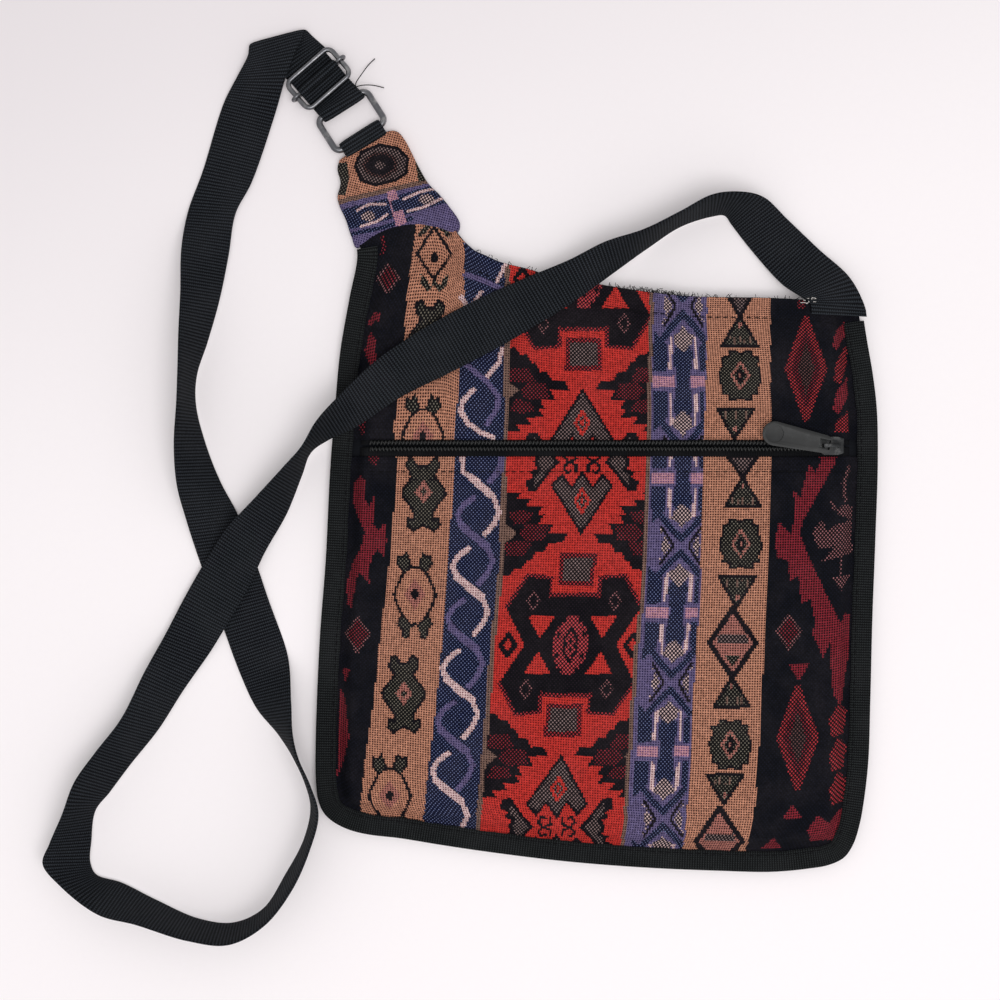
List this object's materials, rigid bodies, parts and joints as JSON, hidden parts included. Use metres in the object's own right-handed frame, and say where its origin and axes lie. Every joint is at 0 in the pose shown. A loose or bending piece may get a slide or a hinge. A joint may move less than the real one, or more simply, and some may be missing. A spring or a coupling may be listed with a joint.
{
  "type": "woven sling bag",
  "caption": "Small flat cross-body sling bag in striped woven cloth, with a zip pocket across the front, bound edges, a wire ring on a corner tab and a long webbing strap.",
  "frame": {"origin": "on the flat underside of the back panel, near the middle of the bag", "axes": "+Z out of the back panel towards the front, +Y towards the mouth, +X towards the strap's sewn corner"},
  "size_m": [0.3298, 0.3605, 0.0234],
  "materials": {
    "woven_cloth": "ribbed striped weave",
    "lining": "plain cloth",
    "binding_tape": "cross-ribbed tape",
    "zip_tape": "plain tape",
    "zip_coil": "moulded coil",
    "slider_metal": "dark coated",
    "pull_metal": "dark coated",
    "wire_metal": "dark plated wire",
    "webbing": "ribbed webbing"
  },
  "bodies": {
    "bag": {"back_panel": "woven_cloth", "pocket_lining": "lining", "front_lower_panel": "woven_cloth", "front_upper_panel": "woven_cloth", "edge_binding": "binding_tape", "zipper_tape_upper": "zip_tape", "zipper_tape_lower": "zip_tape", "zipper_teeth_upper": "zip_coil", "zipper_teeth_lower": "zip_coil", "ring_tab": "woven_cloth", "ring_loop": "webbing", "strap": "webbing"},
    "slider": {"zipper_slider": "slider_metal"},
    "pull": {"zipper_pull": "pull_metal"},
    "ring_assembly": {"ring": "wire_metal", "adjuster_frame": "wire_metal", "adjuster_bar": "wire_metal", "strap_end": "webbing"}
  },
  "joints": [
    {"name": "zip_slide", "type": "slide", "parent": "bag", "child": "slider", "axis": [-1, 0, 0], "range_m": [0, 0.145]},
    {"name": "pull_hinge", "type": "hinge", "parent": "slider", "child": "pull", "pos_m": [0.0906, 0.0574, 0.01082], "axis": [0.2079, 0.9781, 0], "range_deg": [0, 150]},
    {"name": "ring_swing", "type": "hinge", "parent": "bag", "child": "ring_assembly", "pos_m": [-0.09517, 0.18067, 0.0026], "axis": [0.8434, 0.5373, 0], "range_deg": [-30, 75]}
  ]
}
